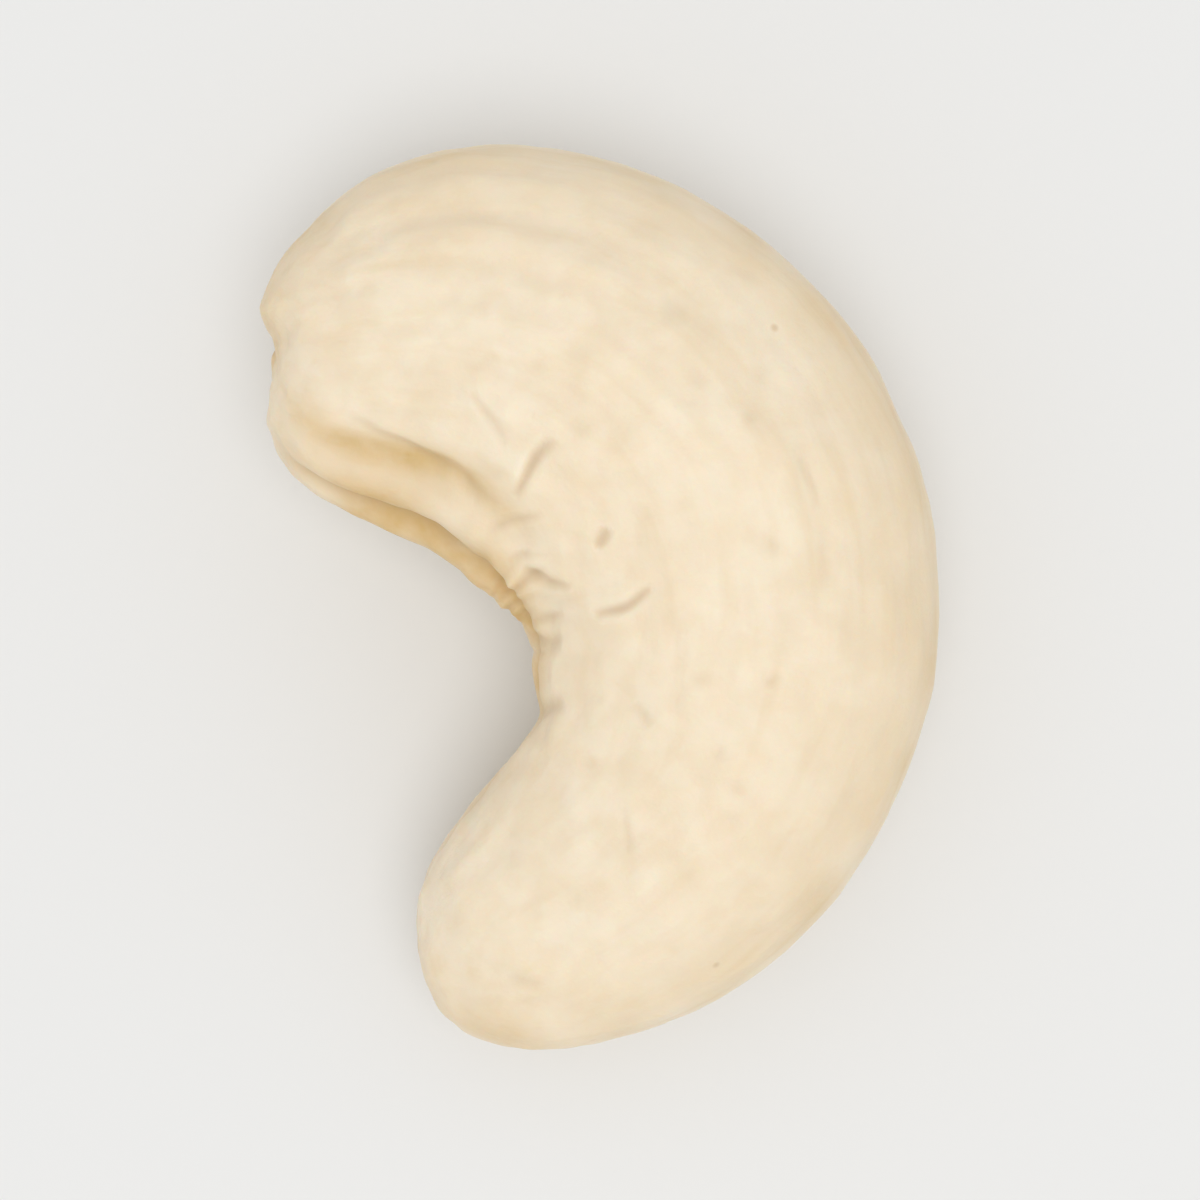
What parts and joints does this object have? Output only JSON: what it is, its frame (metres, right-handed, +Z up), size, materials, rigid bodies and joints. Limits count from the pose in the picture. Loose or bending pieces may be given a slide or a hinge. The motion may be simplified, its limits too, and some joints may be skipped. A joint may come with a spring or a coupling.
{
  "type": "cashew nut",
  "caption": "Whole raw cashew kernel: a plump cream crescent with one blunt arm and one slimmer arm, a lipped seam along its hollow side, lying on its cheek.",
  "frame": {"origin": "on the surface that the kernel rests on, under the middle of its bounding box", "axes": "+Z up, through the upper cheek; +Y along the kernel's greatest length, towards the back of the blunt arm; -X out of the mouth of the crescent"},
  "size_m": [0.0186, 0.025, 0.0103],
  "materials": {
    "kernel": "pale cream raw kernel, waxy and nearly matt, a little more golden along the seams, in the creases and at the rims"
  },
  "bodies": {
    "root": {"cashew_kernel": "kernel"}
  },
  "joints": []
}
